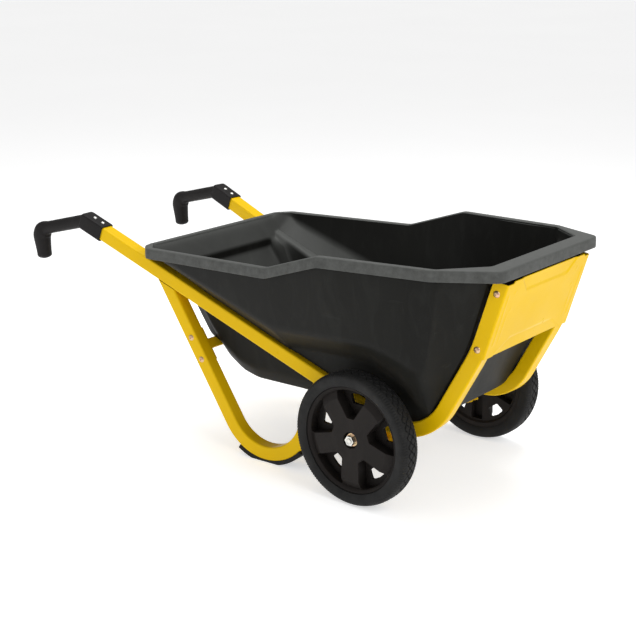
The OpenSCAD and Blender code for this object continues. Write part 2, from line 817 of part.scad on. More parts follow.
// Top of the rim along its length
rim_line = [
    [-tub_back, axle_z + rim_low],
    [-279, axle_z + rim_mid],
    [-98, axle_z + rim_step],
    [220, axle_z + rim_high - 7],
    [nose_x + nose_over, axle_z + rim_high]
];
// Rim's outer edge, half width along its length
rim_half_line = [
    [-tub_back, track_half + 60],
    [-tub_back + 40, track_half + 95],
    [-279, track_half + 108],
    [-98, track_half + 118.5],
    [220, track_half + 84],
    [nose_x + nose_over, track_half + 9]
];
function rim_at(x) = lookup(x, rim_line);

// Half widths of the side walls at their top, at the crease, and at the arch's foot
wall_half_line = [
    [tub_rear, track_half + 37],
    [tub_rear + 37, track_half + 93 - rim_over],
    [-279, track_half + 108 - rim_over],
    [-98, track_half + 118 - rim_over],
    [226, track_half + 84 - rim_over],
    [nose_x, track_half - 20]
];
crease_line = [
    [tub_rear, track_half + 35, axle_z + rim_low - 4],
    [tub_rear + 40, track_half + 75, axle_z + rim_low - 12],
    [tub_rear + 70, track_half + 77, rail_top(tub_rear + 70) + 58],
    [-arch_run, track_half + 74, rail_top(-arch_run) + 69],
    [-arch_run + 90, track_half + 75, arch_top + arch_gap - 6],
    [-51, track_half + 79, arch_top + arch_gap + 3],
    [54, track_half + 79, arch_top + arch_gap + 7],
    [133, track_half + 72, arch_top + arch_gap - 15],
    [188, track_half + 60, arch_top + arch_gap - 41],
    [205, track_half + 61, arch_top + arch_gap + 4],
    [217, track_half + 64, axle_z + rim_high - 150],
    [226, track_half + 68, axle_z + rim_high - skirt],
    [nose_x, track_half - 21, axle_z + rim_high - skirt]
];
arch_line = [
    [tub_rear, track_half + 27, 0],
    [tub_rear + 217, track_half + 25, 0],
    [-arch_run, track_half + 10, rail_top(-arch_run) + 8],
    [-arch_run + 40, track_half + 8, arch_top - 2],
    [-100, track_half + 5, arch_top + 2],
    [0, track_half + 3, arch_top + 5],
    [85, track_half + 1, arch_top - 33],
    [145, track_half - 5, arch_top - 86],
    [187, track_half - 17, arch_top - 110],
    [nose_x, track_half - 24, 0]
];
function half_of(line, x) = lookup(x, [for (p = line) [p[0], p[1]]]);
function height_of(line, x) = lookup(x, [for (p = line) [p[0], p[2]]]);
function wall_in(x) = track_half - tube - nest_gap - splay_k * x;
function floor_inset(x) = lookup(x, [[tub_rear, 45], [-300, 42], [60, 18], [nose_x, 14]]);
function wall_out(x) = min(track_half - 12 - splay_k * x, half_of(arch_line, x) - 1);

// Right half of a cross-section, floor to rim; t is the depth inside the outer skin
function half_ring(x, t, top) =
    let (z0 = floor_at(x) + t * sqrt(1 + pow(floor_pitch(x), 2)))
    let (ledge = frame_top(x) + ledge_gap + t, rise = 0.5)
    [
        [wall_in(x) - floor_inset(x) - t, z0],
        [wall_in(x) - 12 - t, max(z0 + rise, min(z0 + 46, ledge - 12))],
        [wall_in(x) - t, max(z0 + 2 * rise, ledge)],
        [wall_out(x) - t, max(z0 + 3 * rise, ledge + rise)],
        [half_of(arch_line, x) - t, max(z0 + 4 * rise, ledge + 4 * rise, height_of(arch_line, x) + t * 0.3)],
        [half_of(crease_line, x) - t, max(z0 + 5 * rise, height_of(crease_line, x) + t * 0.5)],
        [lookup(x, wall_half_line) - t, max(z0 + 6 * rise, top)]
    ];
function full_ring(x, t, top) =
    let (h = half_ring(x, t, top), n = len(h))
    concat([for (i = [n - 1 : -1 : 0]) [x, -h[i][0], h[i][1]]], [for (i = [0 : n - 1]) [x, h[i][0], h[i][1]]]);

tub_stations = [
    tub_rear, tub_rear + 18, tub_rear + 37, tub_rear + 55, tub_rear + 70, tub_rear + 95,
    tub_rear + 117, tub_rear + 145, tub_rear + 174, tub_rear + 195, tub_rear + 217,
    tub_rear + 242, tub_rear + 267, tub_rear + 292, tub_rear + 317, -380, -340, -arch_run,
    -arch_run + 40, -arch_run + 90, -150, -98, -51, 0, 30, 54, 85, 105, 120, 133, 145, 160,
    175, 188, 197, 205, 211, 217, 226, 245, 265, 285, 305, nose_x
];

// Skin through a row of cross-sections that have equal numbers of points
module loft(rings) {
    n = len(rings[0]);
    m = len(rings);
    polyhedron(
        points = [for (r = rings) each r],
        faces = concat(
            [[for (i = [0 : n - 1]) i]],
            [[for (i = [n - 1 : -1 : 0]) (m - 1) * n + i]],
            [for (j = [0 : m - 2], i = [0 : n - 1]) i < n / 2
                ? [j * n + i, (j + 1) * n + i, (j + 1) * n + (i + 1) % n]
                : [j * n + i, (j + 1) * n + i, j * n + (i + 1) % n]],
            [for (j = [0 : m - 2], i = [0 : n - 1]) i < n / 2
                ? [j * n + i, (j + 1) * n + (i + 1) % n, j * n + (i + 1) % n]
                : [(j + 1) * n + i, (j + 1) * n + (i + 1) % n, j * n + (i + 1) % n]]
        )
    );
}

function mirrored(line) = concat(
    [for (p = line) [p[0], -p[1]]],
    [for (i = [len(line) - 1 : -1 : 0]) line[i]]
);

// A slab that follows the rim: from `up` below its top to `down` below it
module rim_band(up, down) {
    rotate([90, 0, 0]) linear_extrude(2 * far, center = true) polygon(concat(
        [for (p = rim_line) [p[0] - (p[0] < -700 ? 9 : 0) + (p[0] > 300 ? 9 : 0), p[1] - up]],
        [for (i = [len(rim_line) - 1 : -1 : 0]) let (p = rim_line[i])
            [p[0] - (p[0] < -700 ? 9 : 0) + (p[0] > 300 ? 9 : 0), p[1] - down]]
    ));
}

module rim_plan(inset) {
    linear_extrude(far) offset(delta = -inset) polygon(rounded(mirrored(rim_half_line), 22));
}

module tub_rim() {
    intersection() {
        rim_plan(0);
        rim_band(0, tub_wall);
    }
    difference() {
        intersection() {
            rim_plan(0);
            rim_band(0, skirt);
        }
        rim_plan(tub_wall - 1);
    }
}

module tub() {
    color(plastic) difference() {
        union() {
            tub_rim();
            intersection() {
                loft([for (x = tub_stations) full_ring(x, 0, far)]);
                rotate([90, 0, 0]) linear_extrude(2 * far, center = true) polygon(concat(
                    [[-far, 0]], [[-far, axle_z + rim_low - 1]],
                    [for (p = rim_line) p - [0, 1]], [[far, axle_z + rim_high - 1]], [[far, 0]]
                ));
            }
        }
        loft([for (x = tub_stations) full_ring(x, tub_wall, far + 10)]);
        for (s = [-1, 1], u = tub_bolt_u) side_frame(s) tub_bolt_axis(s, u)
            cylinder(r = hole_r, h = tube);
    }
}

place() tub();
place() rail(1);  // rail_left
place() rail(-1);  // rail_right
place() leg(1);  // leg_left
place() leg(-1);  // leg_right
place() front_plate();
place() leg_brace();
place() axle_bracket(1);  // axle_bracket_left
place() axle_bracket(-1);  // axle_bracket_right
place() axle();
place() axle_spacers();
place() axle_washers();
place() axle_nuts();
place() wheel(1);  // wheel_left
place() wheel(-1);  // wheel_right
place() tyre(1);  // tyre_left
place() tyre(-1);  // tyre_right
place() bushes(1);  // bushes_left
place() bushes(-1);  // bushes_right
place() grip(1);  // grip_left
place() grip(-1);  // grip_right
place() grip_screws();
place() foot_pad(1);  // foot_pad_left
place() foot_pad(-1);  // foot_pad_right
place() foot_pad_rivets();
place() leg_bolts();
place() leg_nuts();
place() plate_bolts();
place() plate_nuts();
place() tub_bolts();
place() tub_washers();
place() tub_nuts();
place() bracket_bolts();
place() bracket_washers();
place() bracket_nuts();
place() riser_caps();
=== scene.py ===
import math

import bmesh
import bpy
from mathutils import Matrix, Vector


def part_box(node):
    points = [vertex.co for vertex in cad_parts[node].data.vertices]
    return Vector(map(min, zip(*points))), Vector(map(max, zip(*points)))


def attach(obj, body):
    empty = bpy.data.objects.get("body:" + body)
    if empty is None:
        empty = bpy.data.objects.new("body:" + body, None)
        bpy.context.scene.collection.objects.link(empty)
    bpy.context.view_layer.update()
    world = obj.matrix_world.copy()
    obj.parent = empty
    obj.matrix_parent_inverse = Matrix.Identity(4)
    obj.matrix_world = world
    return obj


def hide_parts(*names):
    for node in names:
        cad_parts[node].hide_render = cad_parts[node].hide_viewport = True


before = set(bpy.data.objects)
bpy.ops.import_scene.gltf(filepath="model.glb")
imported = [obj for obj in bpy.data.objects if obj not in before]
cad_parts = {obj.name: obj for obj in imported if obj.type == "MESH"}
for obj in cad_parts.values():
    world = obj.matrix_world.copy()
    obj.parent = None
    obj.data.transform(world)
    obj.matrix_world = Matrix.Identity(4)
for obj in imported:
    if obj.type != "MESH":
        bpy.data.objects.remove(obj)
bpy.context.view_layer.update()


# ---------------------------------------------------------------- rails

# Rails: one square steel tube a side, bent once at the nose and eased again at
# the knee, powder coated. It carries the tub and takes the grip and the plate.
MM = 0.001
low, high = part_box("axle")
AXLE_X = (low.x + high.x) / 2
AXLE_Z = 178.0
SPLAY = math.radians(4.3)
CS, SN = math.cos(SPLAY), math.sin(SPLAY)
HALF_TRACK = 225.0
TUBE, TUBE_WALL, TUBE_ROUND = 40.0, 2.0, 5.0
RAIL_SLOPE = 20.6
RAIL = [(-1005, 593.4), (145, 161.1), (292.6, 441.1), (345.4, 617.1)]
RAIL_BENDS = [0, 145, 400, 0]


def at(x, y, z):
    """A place from millimetres ahead of the axle, left of the middle and above the ground."""
    return Vector((AXLE_X + x * MM, y * MM, z * MM))


def fr(s, u, d, z):
    """A place in side frame s: u along it, d inwards from its outer face, z up."""
    return at(u * CS - d * SN, s * (HALF_TRACK - u * SN - d * CS), z)


def unit(degrees):
    """Cosine and sine of an angle."""
    a = math.radians(degrees)
    return math.cos(a), math.sin(a)


def rounded_square(w, r, n=5):
    """Outline of a square tube, as (across, deep) pairs, anticlockwise."""
    out = []
    for k in range(4):
        cx, cy = [(1, 1), (-1, 1), (-1, -1), (1, -1)][k]
        for i in range(n + 1):
            c, s = unit(90 * k + 90 * i / n)
            out.append((cx * (w / 2 - r) + c * r, cy * (w / 2 - r) + s * r))
    return out


def pulled(bm, outline, step):
    """Draws an outline's edges out by a step; gives the edges of its far end."""
    made = bmesh.ops.extrude_edge_only(bm, edges=outline)["geom"]
    bmesh.ops.translate(bm, verts=[g for g in made if isinstance(g, bmesh.types.BMVert)], vec=step)
    return [g for g in made if isinstance(g, bmesh.types.BMEdge)]


def turned(bm, outline, centre, axis, angle, steps):
    """Spins an outline's edges round a centre; gives the edges of its far end."""
    verts = list({v for e in outline for v in e.verts})
    made = bmesh.ops.spin(bm, geom=verts + outline, cent=centre, axis=axis, angle=angle, steps=steps)
    return [g for g in made["geom_last"] if isinstance(g, bmesh.types.BMEdge)]


def frame_tube(bm, s, points, bends):
    """A hollow tube in side frame s: its outline pulled along each straight and spun round each bend."""
    heading = [math.atan2(q[1] - p[1], q[0] - p[0]) for p, q in zip(points, points[1:])]
    turn = [q - p for p, q in zip(heading, heading[1:])]
    trim = [0.0] + [r * math.tan(abs(a) / 2) for r, a in zip(bends[1:], turn)] + [0.0]
    forward, upward = fr(s, 1, 0, 0) - fr(s, 0, 0, 0), Vector((0, 0, MM))
    axis = forward.cross(upward).normalized()
    first, last = [], []
    for width, corner in ((TUBE, TUBE_ROUND), (TUBE - 2 * TUBE_WALL, TUBE_ROUND - TUBE_WALL)):
        c, n = math.cos(heading[0]), math.sin(heading[0])
        u, z = points[0]
        ring = [
            bm.verts.new(fr(s, u - n * across, TUBE / 2 - deep, z + c * across))
            for across, deep in rounded_square(width, corner)
        ]
        outline = [bm.edges.new((ring[i - 1], ring[i])) for i in range(len(ring))]
        first += outline
        for i, a in enumerate(heading):
            c, n = math.cos(a), math.sin(a)
            length = math.dist(points[i], points[i + 1]) - trim[i] - trim[i + 1]
            steps = max(1, int(length / 30))
            for _ in range(steps):
                outline = pulled(bm, outline, (forward * c + upward * n) * length / steps)
            if i < len(turn):
                u, z = points[i + 1][0] - c * trim[i + 1], points[i + 1][1] - n * trim[i + 1]
                r = math.copysign(bends[i + 1], turn[i])
                steps = max(2, int(abs(math.degrees(turn[i])) / 2.5))
                outline = turned(bm, outline, fr(s, u - n * r, TUBE / 2, z + c * r), axis, turn[i], steps)
        last += outline
    for end in (first, last):
        bmesh.ops.triangle_fill(bm, edges=end, use_beauty=True)


class Look:
    """A procedural finish: a principled shader with helpers for its texture nodes."""

    def __init__(self, name, colour, rough, metal=0.0, specular=0.5):
        self.material = bpy.data.materials.new(name)
        self.material.use_nodes = True
        self.tree = self.material.node_tree
        self.tree.nodes.clear()
        out = self.tree.nodes.new("ShaderNodeOutputMaterial")
        self.bsdf = self.tree.nodes.new("ShaderNodeBsdfPrincipled")
        self.tree.links.new(self.bsdf.outputs[0], out.inputs[0])
        self.coords = self.tree.nodes.new("ShaderNodeTexCoord").outputs["Object"]
        self.bsdf.inputs["Base Color"].default_value = (*colour, 1)
        self.bsdf.inputs["Roughness"].default_value = rough
        self.bsdf.inputs["Metallic"].default_value = metal
        self.bsdf.inputs["Specular IOR Level"].default_value = specular
        self.material.diffuse_color = (*colour, 1)
        self.bumps = None

    def link(self, a, b):
        self.tree.links.new(a, b)

    def noise(self, scale, detail=4.0, rough=0.55, stretch=(1, 1, 1), turn=(0, 0, 0), distort=0.0):
        m = self.tree.nodes.new("ShaderNodeMapping")
        m.inputs["Scale"].default_value = stretch
        m.inputs["Rotation"].default_value = turn
        self.link(self.coords, m.inputs["Vector"])
        n = self.tree.nodes.new("ShaderNodeTexNoise")
        n.inputs["Scale"].default_value = scale
        n.inputs["Detail"].default_value = detail
        n.inputs["Roughness"].default_value = rough
        n.inputs["Distortion"].default_value = distort
        self.link(m.outputs[0], n.inputs["Vector"])
        return n.outputs["Fac"]

    def spread(self, fac, low, high, a=0.0, b=1.0):
        """Stretches low to high over a to b."""
        n = self.tree.nodes.new("ShaderNodeMapRange")
        n.inputs["From Min"].default_value = low
        n.inputs["From Max"].default_value = high
        n.inputs["To Min"].default_value = a
        n.inputs["To Max"].default_value = b
        self.link(fac, n.inputs["Value"])
        return n.outputs[0]

    def times(self, a, b):
        n = self.tree.nodes.new("ShaderNodeMath")
        n.operation = "MULTIPLY"
        for i, v in enumerate((a, b)):
            if isinstance(v, (int, float)):
                n.inputs[i].default_value = v
            else:
                self.link(v, n.inputs[i])
        return n.outputs[0]

    def blend(self, fac, a, b):
        n = self.tree.nodes.new("ShaderNodeMix")
        n.data_type = "RGBA"
        self.link(fac, n.inputs["Factor"])
        for socket, v in ((n.inputs[6], a), (n.inputs[7], b)):
            if isinstance(v, tuple):
                socket.default_value = (*v, 1)
            else:
                self.link(v, socket)
        return n.outputs[2]

    def colour(self, socket):
        self.link(socket, self.bsdf.inputs["Base Color"])
        return self

    def roughness(self, socket):
        self.link(socket, self.bsdf.inputs["Roughness"])
        return self

    def bump(self, height, distance, strength=1.0):
        n = self.tree.nodes.new("ShaderNodeBump")
        n.inputs["Distance"].default_value = distance * MM
        n.inputs["Strength"].default_value = strength
        self.link(height, n.inputs["Height"])
        if self.bumps is not None:
            self.link(self.bumps, n.inputs["Normal"])
        self.bumps = n.outputs[0]
        self.link(self.bumps, self.bsdf.inputs["Normal"])
        return self

    def mark(self, name):
        """A value painted on the mesh's own points."""
        n = self.tree.nodes.new("ShaderNodeAttribute")
        n.attribute_name = name
        return n.outputs["Fac"]

    def facing_up(self):
        """How far the surface faces the sky, from -1 to 1."""
        g = self.tree.nodes.new("ShaderNodeNewGeometry")
        x = self.tree.nodes.new("ShaderNodeSeparateXYZ")
        self.link(g.outputs["Normal"], x.inputs[0])
        return x.outputs["Z"]


def paint():
    """Yellow powder coat: an uneven tone, settled dust, a few chips and a fine orange peel."""
    k = Look("yellow_powder_coat", (0.80, 0.50, 0.0), 0.42, specular=0.1)
    tone = k.noise(3.0, 3)
    body = k.blend(k.spread(tone, 0.3, 0.7), (0.74, 0.46, 0.001), (0.80, 0.51, 0.002))
    dust = k.times(k.spread(k.noise(26, 6, 0.65), 0.52, 0.74), 0.14)
    body = k.blend(dust, body, (0.70, 0.47, 0.03))
    specks = k.times(k.spread(k.noise(420, 2), 0.73, 0.76), 0.5)
    k.colour(k.blend(specks, body, (0.30, 0.20, 0.05)))
    k.roughness(k.spread(k.noise(14, 5, 0.6), 0.3, 0.75, 0.27, 0.46))
    k.bump(k.noise(520, 2), 0.05, 0.5)
    k.bump(k.noise(60, 2), 0.10, 0.25)
    return k.material


PAINT = paint()


def settle(ob):
    """Bakes the modifiers into the mesh."""
    bpy.context.view_layer.update()
    graph = bpy.context.evaluated_depsgraph_get()
    mesh = bpy.data.meshes.new_from_object(ob.evaluated_get(graph))
    ob.modifiers.clear()
    ob.data = mesh
    return ob


def piece(name, bm, look, body, nodes, crease=35, weighted=True, bevel=None, outward=True, merge=0.00002):
    """A finished object from a bmesh: merged, faced outwards, edges eased, hooked to its body and nodes."""
    if merge:
        bmesh.ops.remove_doubles(bm, verts=bm.verts, dist=merge)
    if outward:
        bmesh.ops.recalc_face_normals(bm, faces=bm.faces)
    mesh = bpy.data.meshes.new(name)
    bm.to_mesh(mesh)
    bm.free()
    ob = bpy.data.objects.new(name, mesh)
    bpy.context.scene.collection.objects.link(ob)
    finish_piece(ob, look, body, nodes, crease, weighted, bevel)
    return ob


def finish_piece(ob, look, body, nodes, crease, weighted, bevel):
    """Edges eased, shading set, material given, and the hooks to its body and nodes."""
    if bevel:
        width, segments, angle = bevel
        m = ob.modifiers.new("edge", "BEVEL")
        m.width = width * MM
        m.segments = segments
        m.limit_method = "ANGLE"
        m.angle_limit = math.radians(angle)
        m.use_clamp_overlap = True
        settle(ob)
    ob.data.shade_smooth()
    ob.data.set_sharp_from_angle(angle=math.radians(crease))
    if weighted:
        m = ob.modifiers.new("flat", "WEIGHTED_NORMAL")
        m.keep_sharp = True
        m.weight = 90
        settle(ob)
    ob.data.materials.clear()
    ob.data.materials.append(look)
    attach(ob, body)
    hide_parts(*nodes)


for s, side in ((1, "left"), (-1, "right")):
    bm = bmesh.new()
    frame_tube(bm, s, RAIL, RAIL_BENDS)
    piece("rail_%s_tube" % side, bm, PAINT, "cart", ("rail_%s" % side,))


# ---------------------------------------------------------------- legs

# Leg loops: the same tube bent to a U, its two ends mitred and welded under
# the rail; powder coated with it.
LEG = [(-910, 795.5), (-323.7, -151.4), (-18.5, 687.2)]
LEG_BENDS = [0, 138, 0]
RAIL_MID = 215.6
RAIL_TOP_RISE = TUBE / 2 / math.cos(math.radians(RAIL_SLOPE))

for s, side in ((1, "left"), (-1, "right")):
    bm = bmesh.new()
    frame_tube(bm, s, LEG, LEG_BENDS)
    cut = fr(s, 0, TUBE / 2, RAIL_MID - RAIL_TOP_RISE)
    c, n = unit(-RAIL_SLOPE)
    up = (fr(s, -n, 0, c) - fr(s, 0, 0, 0)).normalized()
    whole = bm.verts[:] + bm.edges[:] + bm.faces[:]
    bmesh.ops.bisect_plane(bm, geom=whole, plane_co=cut, plane_no=up, clear_outer=True)
    piece("leg_%s_tube" % side, bm, PAINT, "cart", ("leg_%s" % side,))


# ---------------------------------------------------------------- front plate

# Front plate: pressed sheet steel folded round both risers and bolted through
# them, with two shallow pressings and a stiffening bead down each side.
PLATE_SLOPE = 73.3
PLATE_FRONT = 22.5
PLATE_SHEET = 2.4
PLATE_FOOT, PLATE_TOP, PLATE_LIP = -190.0, 14.0, 20.0
LIP_HALF = 173
FOLD = 5
PC, PS = unit(PLATE_SLOPE)
HEAD = RAIL[-1]


def plate_inplane(v, q):
    """Along-frame and height of a place v up the riser from its head, q behind the plate's front."""
    return HEAD[0] + v * PC + (PLATE_FRONT - q) * PS, HEAD[1] + v * PS - (PLATE_FRONT - q) * PC


def plate_face(y, v, q):
    """The same place on the flat face, y off the middle."""
    return at(HEAD[0] * CS + v * PC + (PLATE_FRONT - q) * PS, y, HEAD[1] + v * PS - (PLATE_FRONT - q) * PC)


def smooth(t):
    """An even step from 0 to 1 with soft ends."""
    t = min(1.0, max(0.0, t))
    return t * t * (3 - 2 * t)


def plate_relief(y, v):
    """How far the sheet is pressed in at a place on its face."""
    a = abs(y)
    top = smooth((102 - (a - max(0.0, v + 18) * 0.9)) / 6) * smooth((v + 21) / 6)
    foot = smooth((102 - (a + (v + 149) * 1.5)) / 7) * smooth((-149 - v) / 6)
    bead = math.exp(-((a - 181) / 3.2) ** 2) * smooth((-v - 12) / 8) * smooth((v + 160) / 8)
    inner = math.exp(-((a - 160) / 2.6) ** 2) * smooth((-v - 70) / 8) * smooth((v + 160) / 8)
    dots = 0.0
    for pv in (-14, -62):
        dots += math.exp(-((a - 150) ** 2 + (v - pv) ** 2) / 14)
    return 2.2 * max(top, foot) - 1.4 * bead - 0.8 * inner - 1.0 * dots


def skin(bm, rows, around=True, along=False):
    """Quads through rows of places; each row is a ring if around, and the rows close on themselves if along."""
    made = [[bm.verts.new(p) for p in row] for row in rows]
    n = len(rows[0])
    pairs = list(zip(made, made[1:])) + ([(made[-1], made[0])] if along else [])
    for a, b in pairs:
        for i in range(n if around else n - 1):
            j = (i + 1) % n
            bm.faces.new((a[i], a[j], b[j], b[i]))
    return made


bm = bmesh.new()
rows = []
steps_v = 66
ys = [-190 + i * 2.5 for i in range(153)]
for k in range(steps_v + 1):
    t = k / steps_v
    row = []
    for s in (-1, 1):
        part = []
        v = PLATE_FOOT + (PLATE_TOP - PLATE_FOOT) * t
        corner = fr(s, plate_inplane(v, 0)[0], -2.5, plate_inplane(v, 0)[1])
        back = (fr(s, plate_inplane(v, 10)[0], -2.5, plate_inplane(v, 10)[1]) - corner).normalized()
        across = Vector((0, -s, 0))
        for q in (39, 30, 20, 10, 6):
            u, z = plate_inplane(v - 0.18 * (q - 6) * t, q)
            part.append(fr(s, u, -2.5, z))
        for a in (18, 36, 54, 72, 90):
            c, n = unit(a)
            part.append(corner + back * FOLD * MM * (1 - n) + across * FOLD * MM * (1 - c))
        if s < 0:
            row += part
            for y in ys:
                rise = PLATE_TOP + (PLATE_LIP - PLATE_TOP) * smooth((LIP_HALF - abs(y)) / 3)
                vv = PLATE_FOOT + (rise - PLATE_FOOT) * t
                row.append(plate_face(y, vv, plate_relief(y, vv)))
        else:
            row += part[::-1]
    rows.append(row)
skin(bm, rows, around=False)
bmesh.ops.recalc_face_normals(bm, faces=bm.faces)
probe = min(bm.faces, key=lambda f: (f.calc_center_median() - at(345, 0, 540)).length)
if probe.normal.x < 0:
    bmesh.ops.reverse_faces(bm, faces=bm.faces)
bmesh.ops.solidify(bm, geom=bm.faces[:], thickness=PLATE_SHEET * MM)
piece("front_plate_sheet", bm, PAINT, "cart", ("front_plate",), crease=50)


# ---------------------------------------------------------------- tub

# Tub: one deep rotational moulding in black polyethylene, scuffed, with painted
# light making it paler where it faces up and along the rim. Ledges along its sides
# sit on the rails, and the rim is turned down into a skirt all round.
TUB_WALL = 5
FLOOR = [
    (-764, 560), (-647, 387), (-590, 301), (-547, 249), (-497, 216), (-447, 203),
    (88, 203), (124, 208.5), (152, 228), (169, 259), (188, 296), (212, 342), (241, 398),
    (268, 454), (284, 510), (300, 566), (316, 621), (329, 656),
]
RIM = [(-772, 565), (-279, 588), (-98, 650), (220, 660.8), (374, 667.5)]
WALL_HALF = [(-764, 262), (-727, 303), (-279, 318), (-98, 328), (226, 294), (329, 205)]
CREASE_HALF = [
    (-764, 260), (-724, 300), (-694, 302), (-290, 299), (-200, 300), (-51, 304), (54, 304),
    (133, 297), (188, 285), (205, 286), (217, 289), (226, 293), (329, 204),
]
CREASE_Z = [
    (-764, 561), (-724, 553), (-694, 535), (-290, 415), (-200, 420), (-51, 429), (54, 433),
    (133, 411), (188, 385), (205, 430), (217, 513), (226, 633), (329, 638),
]
ARCH_HALF = [
    (-764, 252), (-547, 250), (-290, 235), (-250, 233), (-100, 230), (0, 228), (85, 226),
    (145, 220), (187, 208), (329, 201),
]
ARCH_Z = [
    (-764, 0), (-291, 0), (-290, 346), (-250, 354), (-100, 358), (0, 361), (85, 323),
    (145, 270), (187, 246), (329, 0),
]


def lookup(x, table):
    """Straight-line reading of a table of (place, value) pairs."""
    if x <= table[0][0]:
        return table[0][1]
    for (x0, y0), (x1, y1) in zip(table, table[1:]):
        if x <= x1:
            return y0 + (y1 - y0) * (x - x0) / (x1 - x0)
    return table[-1][1]


def eased(x, table, reach):
    """The table's reading with its kinks rounded over a reach either side."""
    weights = (1, 2, 3, 4, 3, 2, 1)
    return sum(w * lookup(x + reach * (i - 3) / 3, table) for i, w in enumerate(weights)) / 16


def rail_top(x):
    """Height of the rail's upper face."""
    return RAIL_MID - math.tan(math.radians(RAIL_SLOPE)) * x / CS + RAIL_TOP_RISE


def frame_top(x):
    """Upper surface of the rail, through its lower bend."""
    if x < 60:
        return rail_top(x)
    return max(rail_top(x), RAIL[1][1] + (x - RAIL[1][0]) * 1.9 + 23)


def wall_in(x):
    """Half width of the tub between the rails."""
    return HALF_TRACK - 46 - SN / CS * x


def half_ring(x):
    """Corners of the tub's right half at a station: floor edge, chine, ledge, arch, crease, top."""
    z0 = eased(x, FLOOR, 14)
    ledge = frame_top(x) + 1
    edge = lookup(x, [(-764, 45), (-300, 42), (60, 18), (329, 14)])
    w = wall_in(x)
    out = min(HALF_TRACK - 12 - SN / CS * x, eased(x, ARCH_HALF, 18) - 1)
    return [
        (w - edge, z0),
        (w - 12, max(z0 + 0.5, min(z0 + 46, ledge - 12))),
        (w, max(z0 + 1.0, ledge)),
        (out, max(z0 + 1.5, ledge + 0.5)),
        (eased(x, ARCH_HALF, 18), max(z0 + 2, ledge + 2, eased(x, ARCH_Z, 16))),
        (eased(x, CREASE_HALF, 10), max(z0 + 2.5, eased(x, CREASE_Z, 16))),
        (eased(x, WALL_HALF, 8), max(z0 + 3, eased(x, RIM, 10) - 4)),
    ]


def fillet(corners, radii, n=5):
    """Rounds the corners of an open polyline; gives the same count of points whatever the shape."""
    out = [corners[0]]
    for i in range(1, len(corners) - 1):
        a, b, c = (Vector(p) for p in corners[i - 1:i + 2])
        la, lc = (a - b).length, (c - b).length
        d = min(radii[i], la * 0.45, lc * 0.45)
        p, q = b + (a - b) * (d / la if la > 1e-6 else 0), b + (c - b) * (d / lc if lc > 1e-6 else 0)
        for k in range(n + 1):
            t = k / n
            out.append(tuple(p * (1 - t) ** 2 + b * 2 * t * (1 - t) + q * t * t))
    out.append(corners[-1])
    return out


def tub_section(x):
    """The whole outer section at a station, right rim over the floor to left rim."""
    h = half_ring(x)
    line = [(-y, z) for y, z in h[::-1]] + h
    radii = [0, 16, 12, 10, 9, 16, 12] + [12, 16, 9, 10, 12, 16, 0]
    pts = fillet(line, radii)
    mid = len(pts) // 2
    a, b = pts[mid - 1], pts[mid]
    n = 36
    fill = [(a[0] + (b[0] - a[0]) * k / n, a[1] + (b[1] - a[1]) * k / n) for k in range(1, n)]
    return pts[:mid] + fill + pts[mid:]


def stations():
    """Places along the tub, closer together where its ends are steep."""
    xs, x = [], -764.0
    while x < 329:
        xs.append(x)
        steep = abs(lookup(x + 2, FLOOR) - lookup(x - 2, FLOOR)) / 4
        x += 7.0 / math.sqrt(1 + steep * steep)
    xs.append(329.0)
    return xs


def back_panel(p):
    """The lower rear wall is pressed outwards, with a sloped lip above it and down both sides."""
    x, y, z = p
    if x > -560:
        return 0.0
    band = smooth((500 - z) / 16) * smooth((-570 - x) / 30)
    side = smooth((205 - abs(y)) / 16)
    return 14.0 * band * side


outer = [[Vector((x, y, z)) for y, z in tub_section(x)] for x in stations()]
normals = []
rows_n, cols_n = len(outer), len(outer[0])
for i in range(rows_n):
    row = []
    for j in range(cols_n):
        du = outer[min(i + 1, rows_n - 1)][j] - outer[max(i - 1, 0)][j]
        dv = outer[i][min(j + 1, cols_n - 1)] - outer[i][max(j - 1, 0)]
        n = du.cross(dv)
        row.append(n.normalized() if n.length > 1e-9 else Vector((0, 0, -1)))
    normals.append(row)
middle = normals[rows_n // 2][cols_n // 2]
flip = -1 if middle.z > 0 else 1
outer_pts, inner_pts = [], []
for i in range(rows_n):
    ro, ri = [], []
    for j in range(cols_n):
        n = normals[i][j] * flip
        p = outer[i][j]
        push = back_panel(p)
        p = p + n * push
        q = p - n * TUB_WALL
        ro.append(at(*p))
        ri.append(at(*q))
    outer_pts.append(ro)
    inner_pts.append(ri)


def loop_points(corners, radii, samples, n=7):
    """A closed plan outline with rounded corners, sampled the same way for any radii."""
    out = []
    m = len(corners)
    cuts = []
    for i in range(m):
        a, b, c = (Vector(corners[(i + k) % m]) for k in (-1, 0, 1))
        u, v = (a - b).normalized(), (c - b).normalized()
        half = math.acos(max(-1, min(1, u.dot(v)))) / 2
        d = radii[i] / math.tan(half)
        cuts.append((b + u * d, b, b + v * d))
    for i in range(m):
        p, b, q = cuts[i]
        for k in range(n + 1):
            t = k / n
            w = 0.5
            num = p * (1 - t) ** 2 + b * 2 * w * 1.4 * t * (1 - t) + q * t * t
            out.append(num / ((1 - t) ** 2 + 2 * w * 1.4 * t * (1 - t) + t * t))
        nxt = cuts[(i + 1) % m][0]
        for k in range(1, samples[i]):
            out.append(q.lerp(nxt, k / samples[i]))
    return out


def both_sides(half):
    """A half outline with its mirror image, as one closed loop."""
    return [(x, -y) for x, y in half] + [(x, y) for x, y in half[::-1]]


